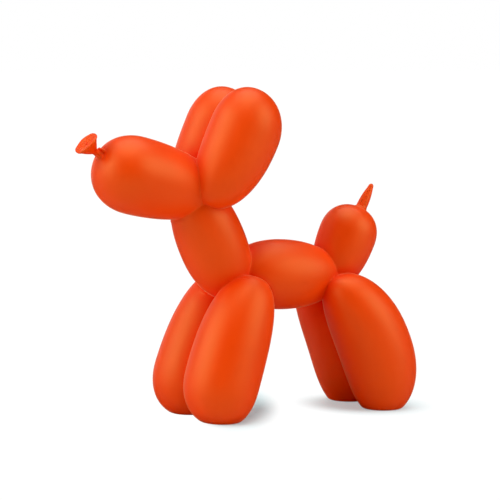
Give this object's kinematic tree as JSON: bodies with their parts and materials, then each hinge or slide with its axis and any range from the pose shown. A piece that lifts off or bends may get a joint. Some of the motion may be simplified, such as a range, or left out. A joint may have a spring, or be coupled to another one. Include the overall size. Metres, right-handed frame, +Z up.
{
  "type": "balloon poodle figurine",
  "caption": "Free-standing decorative figurine of a poodle twisted from a long balloon, cast as a whole and painted, resting on flat-bottomed feet.",
  "frame": {"origin": "on the floor under the middle of the figure's bounding box", "axes": "+Z up from the flat feet; the dog faces -Y, so +Y runs from muzzle to tail; +X is the dog's own left side"},
  "size_m": [0.1038, 0.2643, 0.2409],
  "materials": {
    "painted_resin": "satin orange paint over cast resin"
  },
  "bodies": {
    "root": {"balloon_poodle": "painted_resin"}
  },
  "joints": []
}
